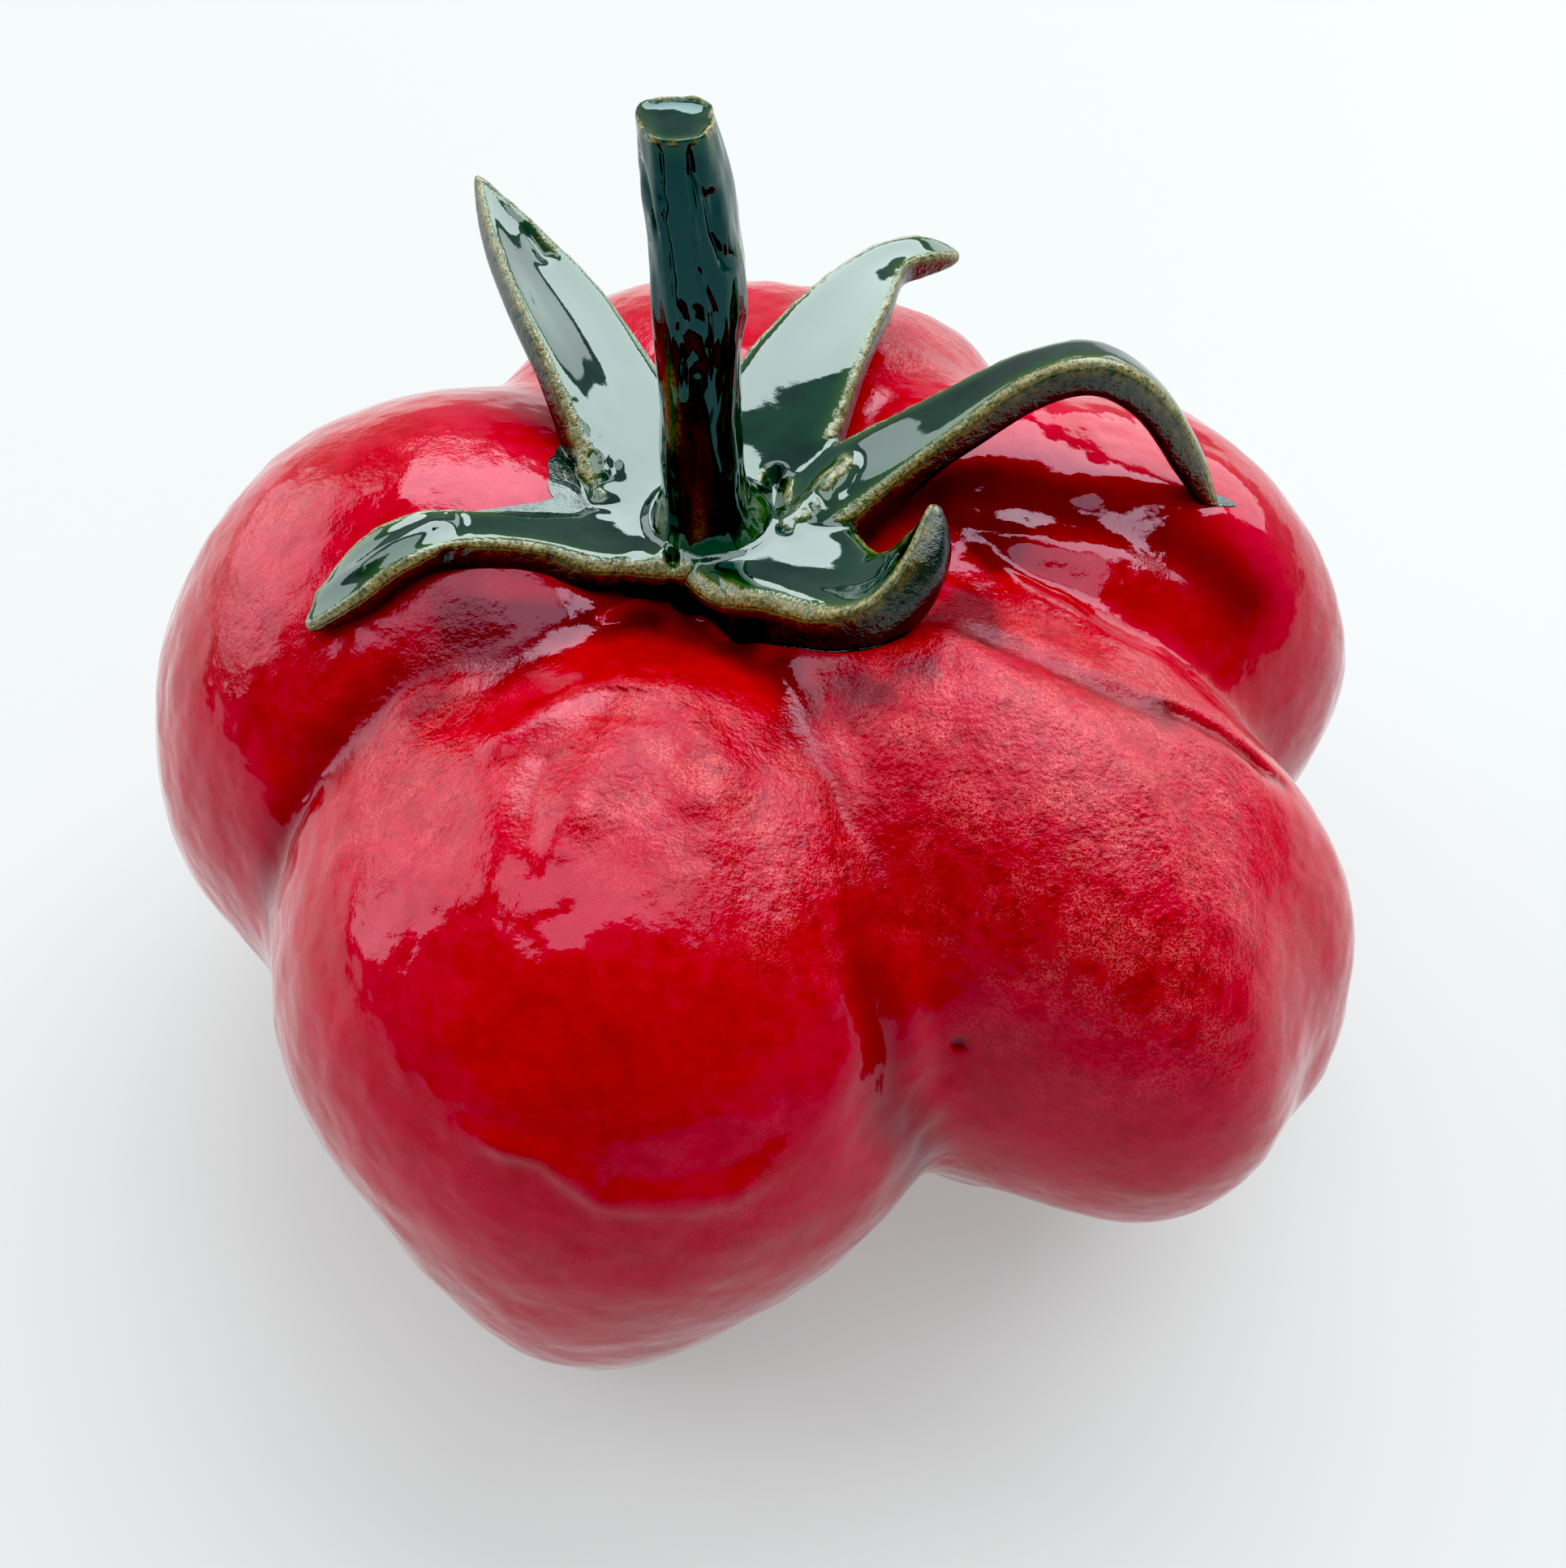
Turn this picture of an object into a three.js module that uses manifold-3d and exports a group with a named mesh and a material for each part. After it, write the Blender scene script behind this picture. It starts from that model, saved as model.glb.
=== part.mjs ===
// A hand-built glazed ceramic tomato: a hollow five-lobed body in two parts, five cut sepals and a stem.
// Units mm, +Z up. The flat foot is in the plane z = 0 and the origin is on it.
import * as THREE from "three";
import { mergeVertices } from "three/addons/utils/BufferGeometryUtils.js";
import Module from "manifold-3d";

const wasm = await Module();
wasm.setup();

// ---- Driving dimensions ----
const RAY_HEIGHT = 30; // the body is star-shaped about the point (0, 0, RAY_HEIGHT)
const BLEND_POWER = 14; // how sharply two lobes meet in a crease
const BLEND_SIZE = 40;
const WALL = 5.5; // wall of the hollow body, along a ray from its middle
const SEAM_HEIGHT = 42; // the two body parts were joined here
const JOINT_GAP = 0.3; // clearance between neighbouring pieces
const PRESS_DEPTH = 4; // how far the underside sank when it was set down wet
const PRESS_START = 18; // height at which that sinking ends
const PRESS_FULL = 4; // height below which it is complete
const RINGS_OUT = 36; // rings and segments of the outer and the inner surface
const SEGMENTS_OUT = 84;
const RINGS_IN = 20;
const SEGMENTS_IN = 50;
const VENT_RADIUS = 3; // lets steam out of the hollow in the kiln
const VENT_AT = [13, 9];
const VENT_DEPTH = 16; // the cutter's height above and below the foot
const ABOVE_ALL = 120; // a height above the whole object
const BEYOND_ALL = 90; // a distance from the axis outside the whole object
const CALYX_AXIS = [-2, 0.4]; // where the stem stands

// Lobes: azimuth in degrees, distance from the axis, half length, half width, half height, centre height.
const LOBES = [
  { azimuth: -113, out: 22, length: 25.5, width: 25.5, height: 26.5, level: 31 },
  { azimuth: -108, out: 18, length: 26.5, width: 15.5, height: 18, level: 19 },
  { azimuth: -29, out: 20.5, length: 30, width: 16.5, height: 26, level: 29.5 },
  { azimuth: -46, out: 19.5, length: 31, width: 14, height: 25.5, level: 31.5 },
  { azimuth: 12, out: 24, length: 28.5, width: 16.5, height: 26, level: 31 },
  { azimuth: 32, out: 22, length: 27, width: 15, height: 25.5, level: 32.5 },
  { azimuth: 73, out: 21, length: 27, width: 21, height: 27, level: 31 },
  { azimuth: 104, out: 22, length: 26.5, width: 19, height: 27, level: 31 },
  { azimuth: 169, out: 22, length: 26.5, width: 25.5, height: 29.5, level: 31 },
];
// The belly fills the underside between the lobes, so that the foot is one flat face.
const BELLY = { radius: 26, down: 32.5, up: 20 };

// Sepals: the sector of the calyx each one fills at its root, and stations along its middle line.
// A station is: distance from the calyx axis, azimuth, height of the middle of the slab,
// half width, thickness, roll in degrees and how far the two edges curl up.
const SEPALS = [
  {
    name: "sepal_left",
    sector: [158, 245],
    stations: [
      [1, -163, 56.4, 9, 2.8, 0, 0],
      [6, -165, 56.4, 5.8, 2.8, 0, 0],
      [9, -167, 56.9, 3.4, 2.7, -6, 0],
      [12, -168, 57.8, 2.4, 2.6, -12, 0],
      [16, -168, 58.9, 1.9, 2.5, -14, 0],
      [19.5, -167, 59.8, 2, 2.5, -12, 0],
      [22.5, -165, 59.6, 2.1, 2.5, -8, 0],
      [25.3, -163, 58.2, 1.9, 2.4, -4, 0],
      [27.8, -162, 56.6, 1.5, 2.2, 0, 0],
    ],
  },
  {
    name: "sepal_back_left",
    sector: [97, 158],
    stations: [
      [1, 126, 56.4, 8, 2.8, 0, 0],
      [6, 126, 56.8, 7, 2.8, 0, 0],
      [10, 126, 58.4, 5.2, 2.7, 0, 0.6],
      [15, 126, 61, 4.6, 2.6, 0, 1.2],
      [20, 126, 63.5, 4.1, 2.5, 0, 1.4],
      [24.5, 126, 66, 2.7, 2.3, 0, 1],
      [27.5, 126, 68.2, 1.4, 1.9, 0, 0.4],
      [29.5, 126, 70.4, 0.8, 1.6, 0, 0],
    ],
  },
  {
    name: "sepal_back_right",
    sector: [41, 97],
    stations: [
      [1, 68, 56.4, 8, 2.8, 0, 0],
      [6, 68, 56.8, 7, 2.8, 0, 0],
      [11, 66, 58.4, 5.4, 2.7, 0, 0.5],
      [17, 64, 60.4, 4.4, 2.6, 0, 0.9],
      [22.5, 62, 61.8, 3.2, 2.5, 4, 0.9],
      [27.5, 61, 62.3, 1.9, 2.4, 8, 0.4],
      [30.5, 58, 62.4, 1.35, 2.4, 8, 0],
      [33, 54, 61.8, 1.25, 2.4, 8, 0],
    ],
  },
  {
    name: "sepal_right",
    sector: [2, 41],
    stations: [
      [1, 20, 56.4, 5, 2.8, 0, 0],
      [7, 20, 56.9, 4.2, 2.8, 0, 0],
      [12, 20, 58.7, 3.3, 2.7, 0, 0.2],
      [18, 18, 62, 2.6, 2.6, -8, 0.2],
      [23, 16, 65, 2.3, 2.6, -20, 0],
      [27.2, 13, 66.2, 2.2, 2.6, -26, 0],
      [31.2, 11, 63.8, 2, 2.4, -24, 0],
      [34.8, 9, 59, 1.7, 2.2, -18, 0],
      [38.3, 8, 53.2, 0.9, 1.8, -12, 0],
    ],
  },
  {
    name: "sepal_front",
    sector: [-115, 2],
    stations: [
      [1, -31, 56.4, 7.5, 3.2, 0, 0],
      [5.5, -31, 56.1, 6, 3.8, 0, 0],
      [9.5, -36, 55.9, 4.7, 4, 0, 0.4],
      [12.5, -37.5, 56.5, 3.9, 3.9, 4, 0.8],
      [15, -34, 58.5, 3.2, 3.4, 8, 0.9],
      [16, -29, 61.6, 2.4, 2.7, 8, 0.5],
      [15.6, -24, 64.6, 1.3, 2.2, 4, 0],
    ],
  },
];
// Stem stations: x, y, z of the middle, radius across the view and radius along it.
const STEM = [
  [-2.1, 0.4, 53, 3.7, 3.6],
  [-2.2, 0.3, 57, 3.6, 3.5],
  [-2.6, 0, 61, 3.05, 3],
  [-2.7, -0.1, 66, 2.75, 2.7],
  [-2.7, -0.2, 71, 2.8, 2.7],
  [-2.6, -0.3, 77, 3.05, 2.8],
  [-3, -0.4, 83, 2.6, 2.5],
  [-3.5, -0.5, 87.5, 2.05, 2],
];
const STEM_SIDES = 20;
const SLAB_SIDES = 16; // points round a sepal's cross-section
const SLAB_STEPS = 14; // cross-sections along a sepal
const SLAB_SQUARENESS = 0.6; // 1 gives an oval section, less gives rounded corners
const WEDGE_FLOOR = 40; // the wedges that part the sepals start at this height
const WEDGE_STEPS = 6;

const RED_GLAZE = 0xa30d16;
const GREEN_GLAZE = 0x1f3a2a;

// ---- Small tools ----
const radians = (degrees) => (degrees * Math.PI) / 180;

function smooth(from, to, value) {
  const t = Math.min(Math.max((value - from) / (to - from), 0), 1);
  return t * t * (3 - 2 * t);
}

// A closed three.js geometry as a manifold-3d solid.
function solidOf(geometry) {
  const plain = new THREE.BufferGeometry();
  const source = geometry.index ? geometry.toNonIndexed() : geometry;
  plain.setAttribute("position", source.getAttribute("position"));
  const merged = mergeVertices(plain, 1e-4);
  return new wasm.Manifold(
    new wasm.Mesh({
      numProp: 3,
      vertProperties: new Float32Array(merged.attributes.position.array),
      triVerts: new Uint32Array(merged.index.array),
    }),
  );
}

// A manifold-3d solid as a named mesh.
function meshOf(name, solid, colour, roughness) {
  const made = solid.getMesh();
  const positions = new Float32Array(made.numVert * 3);
  for (let i = 0; i < made.numVert; i++) {
    positions.set(made.vertProperties.subarray(i * made.numProp, i * made.numProp + 3), i * 3);
  }
  const geometry = new THREE.BufferGeometry();
  geometry.setAttribute("position", new THREE.BufferAttribute(positions, 3));
  geometry.setIndex(new THREE.BufferAttribute(new Uint32Array(made.triVerts), 1));
  geometry.computeVertexNormals();
  const mesh = new THREE.Mesh(
    geometry,
    new THREE.MeshStandardMaterial({ color: colour, roughness }),
  );
  mesh.name = name;
  return mesh;
}

// A closed skin over a list of rings that all have the same number of points, capped at both ends.
function skinOf(rings) {
  const sides = rings[0].length;
  const points = rings.flat();
  const middle = (ring) =>
    ring.reduce((sum, p) => sum.add(p), new THREE.Vector3()).divideScalar(ring.length);
  points.push(middle(rings[0]), middle(rings[rings.length - 1]));
  const first = points.length - 2;
  const last = points.length - 1;
  const faces = [];
  for (let j = 0; j < sides; j++) {
    const k = (j + 1) % sides;
    for (let i = 0; i + 1 < rings.length; i++) {
      const a = i * sides + j;
      const b = i * sides + k;
      faces.push(a, b, b + sides, a, b + sides, a + sides);
    }
    const end = (rings.length - 1) * sides;
    faces.push(first, k, j, last, end + j, end + k);
  }
  const geometry = new THREE.BufferGeometry().setFromPoints(points);
  geometry.setIndex(faces);
  return geometry;
}

// ---- Body ----
// Distance from the ray centre to one lobe's far side, along a direction.
function reachOfLobe(direction, lobe) {
  const c = Math.cos(radians(lobe.azimuth));
  const s = Math.sin(radians(lobe.azimuth));
  const ux = (direction.x * c + direction.y * s) / lobe.length;
  const uy = (direction.y * c - direction.x * s) / lobe.width;
  const uz = direction.z / lobe.height;
  const ox = -lobe.out / lobe.length;
  const oz = (RAY_HEIGHT - lobe.level) / lobe.height;
  const square = ux * ux + uy * uy + uz * uz;
  const along = ux * ox + uz * oz;
  const inside = ox * ox + oz * oz - 1;
  const root = Math.sqrt(Math.max(along * along - square * inside, 0));
  return Math.max((root - along) / square, 1);
}

function reachOfBelly(direction) {
  const flat = Math.hypot(direction.x, direction.y) / BELLY.radius;
  const tall = direction.z / (direction.z < 0 ? BELLY.down : BELLY.up);
  return 1 / Math.hypot(flat, tall);
}

// The body's surface along a direction, moved in or out by `offset`.
function bodyPoint(direction, offset) {
  const term = (reach) => Math.pow(reach / BLEND_SIZE, BLEND_POWER);
  let sum = term(reachOfBelly(direction));
  for (const lobe of LOBES) sum += term(reachOfLobe(direction, lobe));
  const reach = BLEND_SIZE * Math.pow(sum, 1 / BLEND_POWER) + offset;
  const point = direction.clone().multiplyScalar(reach);
  point.z += RAY_HEIGHT;
  point.z -= PRESS_DEPTH * (1 - smooth(PRESS_FULL, PRESS_START, point.z));
  return point;
}

function bodySolid(offset, ringCount, segmentCount) {
  const rings = [];
  for (let i = 1; i < ringCount; i++) {
    const down = (Math.PI * i) / ringCount;
    const ring = [];
    for (let j = 0; j < segmentCount; j++) {
      const turn = (2 * Math.PI * j) / segmentCount;
      const direction = new THREE.Vector3(
        Math.sin(down) * Math.cos(turn),
        Math.sin(down) * Math.sin(turn),
        -Math.cos(down),
      );
      ring.push(bodyPoint(direction, offset));
    }
    rings.push(ring);
  }
  return solidOf(skinOf(rings));
}

// Everything above or below a level, wide enough for the whole object.
function slabBetween(low, high) {
  const box = new THREE.BoxGeometry(2 * BEYOND_ALL, 2 * BEYOND_ALL, high - low);
  return solidOf(box.translate(0, 0, (low + high) / 2));
}

const bodyOuter = bodySolid(0, RINGS_OUT, SEGMENTS_OUT);
const bodyInner = bodySolid(-WALL, RINGS_IN, SEGMENTS_IN).intersect(
  slabBetween(WALL, ABOVE_ALL),
);
const vent = solidOf(
  new THREE.CylinderGeometry(VENT_RADIUS, VENT_RADIUS, 2 * VENT_DEPTH, 24)
    .rotateX(Math.PI / 2)
    .translate(VENT_AT[0], VENT_AT[1], 0),
);
const shell = bodyOuter.subtract(bodyInner).subtract(vent);
const bodyLower = shell.intersect(slabBetween(0, SEAM_HEIGHT - JOINT_GAP / 2));
const bodyUpper = shell.intersect(slabBetween(SEAM_HEIGHT + JOINT_GAP / 2, ABOVE_ALL));
const bodyGrown = bodySolid(JOINT_GAP, RINGS_OUT, SEGMENTS_OUT);

// ---- Stem ----
function stemSolid(extra) {
  const centres = new THREE.CatmullRomCurve3(
    STEM.map(([x, y, z]) => new THREE.Vector3(x, y, z)),
  );
  const rings = [];
  const steps = 2 * (STEM.length - 1);
  for (let i = 0; i <= steps; i++) {
    const at = (i / steps) * (STEM.length - 1);
    const k = Math.min(Math.floor(at), STEM.length - 2);
    const f = at - k;
    const wide = STEM[k][3] * (1 - f) + STEM[k + 1][3] * f + extra;
    const deep = STEM[k][4] * (1 - f) + STEM[k + 1][4] * f + extra;
    const centre = centres.getPoint(i / steps);
    const ring = [];
    for (let j = 0; j < STEM_SIDES; j++) {
      const turn = (2 * Math.PI * j) / STEM_SIDES;
      ring.push(
        new THREE.Vector3(Math.cos(turn) * wide, Math.sin(turn) * deep, 0).add(centre),
      );
    }
    rings.push(ring);
  }
  return solidOf(skinOf(rings));
}

const stem = stemSolid(0).subtract(bodyGrown);
const stemHole = stemSolid(JOINT_GAP);

// ---- Sepals ----
// A wedge of the calyx from one azimuth to another, with half a joint gap left on each side.
function wedgeSolid([from, to]) {
  const middle = radians((from + to) / 2);
  const half = radians((to - from) / 2);
  const shift = JOINT_GAP / 2 / Math.sin(Math.min(half, Math.PI / 2));
  const apex = new THREE.Vector2(Math.cos(middle) * shift, Math.sin(middle) * shift);
  const outline = [apex];
  for (let i = 0; i <= WEDGE_STEPS; i++) {
    const turn = radians(from + ((to - from) * i) / WEDGE_STEPS);
    const edge = new THREE.Vector2(Math.cos(turn), Math.sin(turn));
    outline.push(edge.multiplyScalar(BEYOND_ALL).add(apex));
  }
  const wedge = new THREE.ExtrudeGeometry(new THREE.Shape(outline), {
    depth: ABOVE_ALL - WEDGE_FLOOR,
    bevelEnabled: false,
  });
  return solidOf(wedge.translate(CALYX_AXIS[0], CALYX_AXIS[1], WEDGE_FLOOR));
}

// One value of the stations, read with a smooth curve.
function readStations(stations, column, at) {
  const values = stations.map((s) => s[column]);
  const k = Math.min(Math.floor(at), values.length - 2);
  const f = at - k;
  const before = values[Math.max(k - 1, 0)];
  const after = values[Math.min(k + 2, values.length - 1)];
  const a = values[k];
  const b = values[k + 1];
  const rise = (b - before) / 2;
  const fall = (after - a) / 2;
  return (
    a +
    rise * f +
    (3 * (b - a) - 2 * rise - fall) * f * f +
    (2 * (a - b) + rise + fall) * f * f * f
  );
}

function sepalCentre(stations, at) {
  const turn = radians(readStations(stations, 1, at));
  const out = readStations(stations, 0, at);
  return new THREE.Vector3(
    CALYX_AXIS[0] + out * Math.cos(turn),
    CALYX_AXIS[1] + out * Math.sin(turn),
    readStations(stations, 2, at),
  );
}

// Turns a circle's sine or cosine into that of a rounded rectangle.
const squarer = (v) => Math.sign(v) * Math.pow(Math.abs(v), SLAB_SQUARENESS);

function sepalSolid(sepal) {
  const { stations } = sepal;
  const end = stations.length - 1;
  const rings = [];
  const across = new THREE.Vector3();
  for (let i = 0; i <= SLAB_STEPS; i++) {
    const at = (end * i) / SLAB_STEPS;
    const centre = sepalCentre(stations, at);
    const ahead = sepalCentre(stations, Math.min(at + 0.05, end));
    const behind = sepalCentre(stations, Math.max(at - 0.05, 0));
    const along = ahead.sub(behind).normalize();
    if (i === 0) across.set(along.y, -along.x, 0);
    across.addScaledVector(along, -across.dot(along)).normalize();
    const roll = radians(readStations(stations, 5, at));
    const side = across.clone().applyAxisAngle(along, roll);
    const up = side.clone().cross(along);
    const halfWidth = readStations(stations, 3, at);
    const halfThick = readStations(stations, 4, at) / 2;
    const curl = readStations(stations, 6, at);
    const ring = [];
    for (let j = 0; j < SLAB_SIDES; j++) {
      const turn = (-2 * Math.PI * j) / SLAB_SIDES;
      const x = squarer(Math.cos(turn)) * halfWidth;
      const lift = curl * Math.pow(x / halfWidth, 2);
      const y = squarer(Math.sin(turn)) * halfThick + lift;
      ring.push(centre.clone().addScaledVector(side, x).addScaledVector(up, y));
    }
    rings.push(ring);
  }
  const slab = solidOf(skinOf(rings));
  return slab.intersect(wedgeSolid(sepal.sector)).subtract(stemHole).subtract(bodyGrown);
}

// ---- Assembly ----
const tomato = new THREE.Group();
tomato.name = "ceramic_tomato";
tomato.add(meshOf("body_lower", bodyLower, RED_GLAZE, 0.12));
tomato.add(meshOf("body_upper", bodyUpper, RED_GLAZE, 0.12));
for (const sepal of SEPALS) {
  tomato.add(meshOf(sepal.name, sepalSolid(sepal), GREEN_GLAZE, 0.15));
}
tomato.add(meshOf("stem", stem, GREEN_GLAZE, 0.15));

export default tomato;
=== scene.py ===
"""A hand-built ceramic tomato.

Its hollow body has five lobes under a clear red glaze. Its calyx of five cut sepals and its stem are
under a green glaze that breaks to cream on every edge.

Shapes are worked out in millimetres in the CAD model's frame and handed to Blender in metres.
"""

import math

import bmesh
import bpy
import numpy as np
from mathutils import Matrix, Vector
from mathutils.kdtree import KDTree


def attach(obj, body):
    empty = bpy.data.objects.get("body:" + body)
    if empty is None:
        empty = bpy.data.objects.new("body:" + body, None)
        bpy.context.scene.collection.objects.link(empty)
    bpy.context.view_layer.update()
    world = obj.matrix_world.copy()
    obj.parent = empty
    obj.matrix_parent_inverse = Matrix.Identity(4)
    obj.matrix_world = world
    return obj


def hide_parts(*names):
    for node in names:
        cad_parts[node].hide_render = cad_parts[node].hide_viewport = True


MM = 0.001

# ---- Dimensions shared with the CAD model, in mm and degrees ----
RAY_CENTRE = np.array([0.0, 0.0, 30.0])
BLEND_POWER = 14
BLEND_SIZE = 40.0
WALL = 5.5
SEAM_HEIGHT = 42.0
PRESS_DEPTH, PRESS_FULL, PRESS_START = 4.0, 4.0, 18.0
CALYX_AXIS = np.array([-2.0, 0.4])

# Lobes: azimuth, distance from the axis, half length, half width, half height, centre height.
LOBES = [
    (-113, 22, 25.5, 25.5, 26.5, 31),
    (-108, 18, 26.5, 15.5, 18, 19),
    (-29, 20.5, 30, 16.5, 26, 29.5),
    (-46, 19.5, 31, 14, 25.5, 31.5),
    (12, 24, 28.5, 16.5, 26, 31),
    (32, 22, 27, 15, 25.5, 32.5),
    (73, 21, 27, 21, 27, 31),
    (104, 22, 26.5, 19, 27, 31),
    (169, 22, 26.5, 25.5, 29.5, 31),
]
BELLY_RADIUS, BELLY_DOWN, BELLY_UP = 26.0, 32.5, 20.0

# Sepals, close to the CAD model's middle lines: sector, then stations of distance from the calyx
# axis, azimuth, height, half width, thickness, roll, and how far the edges curl up.
SEPALS = {
    "sepal_left": ((158, 245), [
        (1, -163, 56.4, 4.5, 2.8, 0, 0),
        (6, -170, 56.4, 3.8, 2.8, 0, 0),
        (9, -167, 56.9, 3.4, 2.7, 3, 0),
        (12, -168, 57.8, 2.4, 2.6, 5, 0.1),
        (16, -168, 58.9, 1.9, 2.5, 3, 0.2),
        (19.5, -167, 59.8, 2, 2.5, -6, 0.2),
        (22.5, -165, 59.6, 2.1, 2.5, -8, 0),
        (25.3, -163, 58.2, 1.9, 2.4, -4, 0),
        (28.8, -162, 56.2, 1.5, 2.2, 0, 0),
    ]),
    "sepal_back_left": ((97, 158), [
        (1, 126, 56.4, 8, 2.8, 0, 0),
        (6, 126, 56.8, 7, 2.8, 0, 0),
        (10, 126, 58.4, 5.2, 2.7, 6, 0.3),
        (15, 126, 61, 4.6, 2.6, 15, 0.7),
        (20, 126, 63.5, 4.1, 2.5, 18, 1.1),
        (24.5, 126, 66, 2.7, 2.3, 14, 0.8),
        (27.5, 126, 68.2, 1.4, 1.9, 6, 0.4),
        (29.5, 126, 70.4, 0.8, 1.6, 0, 0),
    ]),
    "sepal_back_right": ((41, 97), [
        (1, 68, 56.4, 8, 2.8, 0, 0),
        (6, 68, 56.8, 7, 2.8, 0, 0),
        (11, 66, 58.4, 5.4, 2.7, -2, 0.2),
        (17, 64, 60.4, 4.4, 2.6, -5, 0.3),
        (22.5, 62, 61.8, 3.2, 2.5, -3, 0.4),
        (27.5, 61, 62.3, 1.9, 2.4, 2, 0.4),
        (30.5, 58, 62.4, 1.5, 2.4, 8, 0),
        (33.2, 54, 61.8, 1.6, 2.6, 8, 0),
    ]),
    "sepal_right": ((2, 41), [
        (1, 20, 56.4, 5, 2.8, 0, 0),
        (7, 20, 56.9, 4.2, 2.8, 0, 0),
        (12, 20, 58.7, 3.3, 2.7, 0, 0.2),
        (18, 18, 62, 2.6, 2.6, -8, 0.2),
        (23, 16, 65, 2.3, 2.6, -20, 0),
        (27.2, 13, 66.2, 2.2, 2.6, -26, 0),
        (31.2, 11, 63.8, 2, 2.4, -24, 0),
        (34.8, 9, 59, 1.7, 2.2, -18, 0),
        (38.3, 8, 53.2, 0.9, 1.8, -12, 0),
    ]),
    "sepal_front": ((245, 362), [
        (1, -31, 56.4, 4.5, 3.2, 0, 0),
        (5.5, -31, 56.1, 6, 3.8, 0, 0),
        (9.5, -36, 55.9, 4.7, 4, 0, 0.4),
        (12.5, -37.5, 56.5, 3.9, 3.9, 4, 0.8),
        (15, -34, 58.5, 3.2, 3.4, 8, 0.9),
        (16, -29, 61.6, 2.4, 2.7, 8, 0.5),
        (15.6, -24, 64.6, 1.3, 2.2, 4, 0),
    ]),
}
# Stem: x, y, z of the middle, radius across the view and radius along it.
STEM = [
    (-2.1, 0.4, 53, 3.7, 3.6),
    (-2.2, 0.3, 57, 3.6, 3.5),
    (-2.6, 0, 61, 3.05, 3),
    (-2.7, -0.1, 66, 2.75, 2.7),
    (-2.7, -0.2, 71, 2.8, 2.7),
    (-2.6, -0.3, 77, 3.05, 2.8),
    (-3, -0.4, 83, 2.6, 2.5),
    (-3.5, -0.5, 87.5, 2.05, 2),
]
STEM_SQUARE = 0.62  # 1 gives an oval section, less gives flatter sides
STEM_TAPER = 0.1  # how much narrower each half of the section gets, from back to middle to front
STEM_TOP_SLOPE = -0.05  # of the cut across the top, from front to back
# Rings across the cut end of the stem: share of the rim's size, and how far below it.
STEM_END = [
    (0.96, -0.08), (0.9, -0.02), (0.82, 0.08), (0.7, 0.12), (0.57, 0.14),
    (0.44, 0.15), (0.3, 0.16), (0.16, 0.16), (0.06, 0.16),
]
# Cracks in the stem's skin: distance sideways from its middle line and height, half width, depth.
STEM_CRACKS = [
    ([(0.6, 86.6), (0.3, 82.5), (0.2, 78), (-0.4, 73.5)], 0.15, 0.35),
    ([(-0.9, 86.6), (-1.2, 83), (-1.2, 78), (-0.8, 74.5), (-0.8, 71)], 0.15, 0.35),
    ([(0.7, 86), (1, 84), (1.2, 82), (1.7, 80.5)], 0.15, 0.25),
    ([(0.2, 80), (0.9, 77), (1, 72.5)], 0.13, 0.25),
    ([(-2.1, 86), (-2, 83.5), (-1.7, 82)], 0.15, 0.3),
    ([(-0.9, 77), (-0.3, 74), (0, 72)], 0.13, 0.2),
    ([(1.4, 84), (1.5, 81.5), (2, 79.5)], 0.35, 0.35),
]

# Marks on the calyx: path, half width, height.
RING = [
    (-2.2 + 4.35 * math.cos(t * math.pi / 12), 0.5 + 4.3 * math.sin(t * math.pi / 12), 57.9)
    for t in range(25)
]
CRUMPLE = [(3.2, -0.6, 57.8), (4.9, 1.7, 58.1), (6, 2.9, 58.5), (7.4, 4.4, 59)]
CALYX_STROKES = [
    # the lip of glaze round the foot of the stem
    (RING, 0.35, 0.4),
    # the raised front edge
    ([(-10, -4.2, 57.5), (-7, -4, 57.5), (-4.8, -3.6, 57.5)], 1.6, 0.35),
    ([(-4.5, -3.8, 57.5), (-2.5, -5.5, 57.5), (0, -7, 57.5), (5, -8.6, 57.5)], 1.9, 0.45),
    # the crumpled overlap on the right, and the pit beside it
    (CRUMPLE, 0.85, 0.7),
    ([(2, 1.7, 57.8), (2.4, 4.6, 57.8)], 0.8, -1.3),
    # creases where the left sepal bends
    ([(-22.4, -3.1, 60.6), (-21.7, -6.1, 60)], 0.4, 0.35),
    ([(-20.3, -2.7, 60.6), (-19.6, -6.1, 60)], 0.45, -0.35),
    ([(-19.1, -2.4, 60.3), (-18.4, -6.3, 60)], 0.4, -0.2),
    ([(-20.2, -3.4, 60.8), (-22.3, -5.2, 61), (-25, -6.8, 60), (-28.1, -7.1, 57.5)], 0.6, 0.35),
    # the crack at the front, and a burst bubble beside it
    ([(-4.6, -2.8, 58.4), (-4.8, -3.8, 57.6), (-4.9, -4.3, 55.5), (-4.9, -4.4, 53.8)], 0.4, -1),
    ([(-4.3, -4.9, 55.9), (-4.3, -5, 55.6)], 0.45, 0.5),
    # a dimple near the tip of the back left sepal
    ([(-15.6, 21.4, 66.8), (-14.6, 20.4, 66.2)], 0.75, -0.6),
]
TORN_AT, TORN_SPREAD = (-12.2, 4.6, 57.2), 4.0
CALYX_GAP = 0.05  # between the calyx's underside and the body

# The flat pad of roots under the stem's foot: radius, middle height and half thickness.
HUB_RADIUS, HUB_MIDDLE, HUB_HALF = 8.2, 56.3, 1.4

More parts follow.
